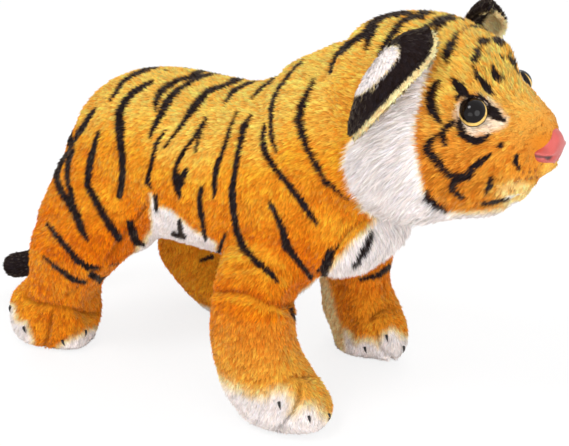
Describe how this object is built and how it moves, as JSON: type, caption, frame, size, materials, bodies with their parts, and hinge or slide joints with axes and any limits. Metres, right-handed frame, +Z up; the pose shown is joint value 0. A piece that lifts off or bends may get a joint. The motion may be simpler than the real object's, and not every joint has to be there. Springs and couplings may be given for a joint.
{
  "type": "plush tiger",
  "caption": "Standing plush tiger with a jointed head, ears, legs and tail, moulded eyes and nose, and flat soles to stand on.",
  "frame": {"origin": "centre of the bounding box at the ground under the paws", "axes": "+X towards the nose, +Y to the animal's left, +Z up"},
  "size_m": [0.4728, 0.1784, 0.2879],
  "materials": {
    "orange_plush": "soft plush pile, printed with black stripes",
    "white_plush": "longer white plush pile",
    "muzzle_plush": "short cream and orange plush pile",
    "toe_plush": "short plush pile, pale at the toes",
    "sole_plush": "short white plush pile",
    "black_plush": "short black plush pile",
    "cream_plush": "short cream plush pile",
    "stuffing": "polyester fibre filling",
    "eye": "clear dome over a gold iris and a black pupil",
    "nose": "moulded, semi-matt pink",
    "washer": "plain moulded"
  },
  "bodies": {
    "torso": {"torso_cover": "orange_plush", "belly_panel": "white_plush", "chest_panel": "white_plush", "torso_stuffing": "stuffing"},
    "neck": {"neck_cover": "orange_plush", "throat_panel": "white_plush", "neck_stuffing": "stuffing"},
    "head": {"head_cover": "orange_plush", "ruff": "white_plush", "muzzle": "muzzle_plush", "chin": "muzzle_plush", "head_stuffing": "stuffing", "right_eye": "eye", "right_eye_washer": "washer", "left_eye": "eye", "left_eye_washer": "washer", "nose": "nose", "nose_washer": "washer"},
    "right_ear": {"right_ear_back": "black_plush", "right_ear_lining": "cream_plush"},
    "left_ear": {"left_ear_back": "black_plush", "left_ear_lining": "cream_plush"},
    "right_front_leg": {"right_front_leg_cover": "orange_plush", "right_front_toes": "toe_plush", "right_front_sole": "sole_plush", "right_front_leg_stuffing": "stuffing"},
    "left_front_leg": {"left_front_leg_cover": "orange_plush", "left_front_toes": "toe_plush", "left_front_sole": "sole_plush", "left_front_leg_stuffing": "stuffing"},
    "right_hind_leg": {"right_hind_leg_cover": "orange_plush", "right_hind_toes": "toe_plush", "right_hind_sole": "sole_plush", "right_hind_leg_stuffing": "stuffing"},
    "left_hind_leg": {"left_hind_leg_cover": "orange_plush", "left_hind_toes": "toe_plush", "left_hind_sole": "sole_plush", "left_hind_leg_stuffing": "stuffing"},
    "tail_upper": {"tail_upper_cover": "orange_plush", "tail_upper_stuffing": "stuffing"},
    "tail_lower": {"tail_lower_cover": "orange_plush", "tail_lower_stuffing": "stuffing", "tail_tip": "black_plush"}
  },
  "joints": [
    {"name": "neck_turn", "type": "hinge", "parent": "torso", "child": "neck", "pos_m": [0.09049, -0.00706, 0.2001], "axis": [0, 0, 1], "range_deg": [-20, 20], "stiffness_Nm_per_rad": 3},
    {"name": "head_nod", "type": "hinge", "parent": "neck", "child": "head", "pos_m": [0.09049, -0.00706, 0.2001], "axis": [0, 1, 0], "range_deg": [-15, 8], "stiffness_Nm_per_rad": 3},
    {"name": "right_ear_fold", "type": "hinge", "parent": "head", "child": "right_ear", "pos_m": [0.14178, -0.05686, 0.25975], "axis": [-0.4557, -0.4608, -0.7616], "range_deg": [-25, 8], "stiffness_Nm_per_rad": 0.05},
    {"name": "left_ear_fold", "type": "hinge", "parent": "head", "child": "left_ear", "pos_m": [0.14178, 0.04275, 0.25975], "axis": [-0.4557, 0.4608, -0.7616], "range_deg": [-8, 25], "stiffness_Nm_per_rad": 0.05},
    {"name": "right_front_leg_swing", "type": "hinge", "parent": "torso", "child": "right_front_leg", "pos_m": [0.05749, -0.00706, 0.11201], "axis": [0, 1, 0], "range_deg": [-10, 10], "stiffness_Nm_per_rad": 4},
    {"name": "left_front_leg_swing", "type": "hinge", "parent": "torso", "child": "left_front_leg", "pos_m": [0.05749, -0.00706, 0.11201], "axis": [0, 1, 0], "range_deg": [-10, 10], "stiffness_Nm_per_rad": 4},
    {"name": "right_hind_leg_swing", "type": "hinge", "parent": "torso", "child": "right_hind_leg", "pos_m": [-0.08152, -0.00706, 0.12201], "axis": [0, 1, 0], "range_deg": [-10, 10], "stiffness_Nm_per_rad": 4},
    {"name": "left_hind_leg_swing", "type": "hinge", "parent": "torso", "child": "left_hind_leg", "pos_m": [-0.08152, -0.00706, 0.12201], "axis": [0, 1, 0], "range_deg": [-10, 10], "stiffness_Nm_per_rad": 4},
    {"name": "tail_lift", "type": "hinge", "parent": "torso", "child": "tail_upper", "pos_m": [-0.12951, -0.00706, 0.17204], "axis": [0, 1, 0], "range_deg": [-4, 50], "stiffness_Nm_per_rad": 0.3},
    {"name": "tail_sway", "type": "hinge", "parent": "tail_upper", "child": "tail_lower", "pos_m": [-0.17094, -0.00796, 0.09639], "axis": [1, 0, 0], "range_deg": [-20, 20], "stiffness_Nm_per_rad": 0.15}
  ]
}
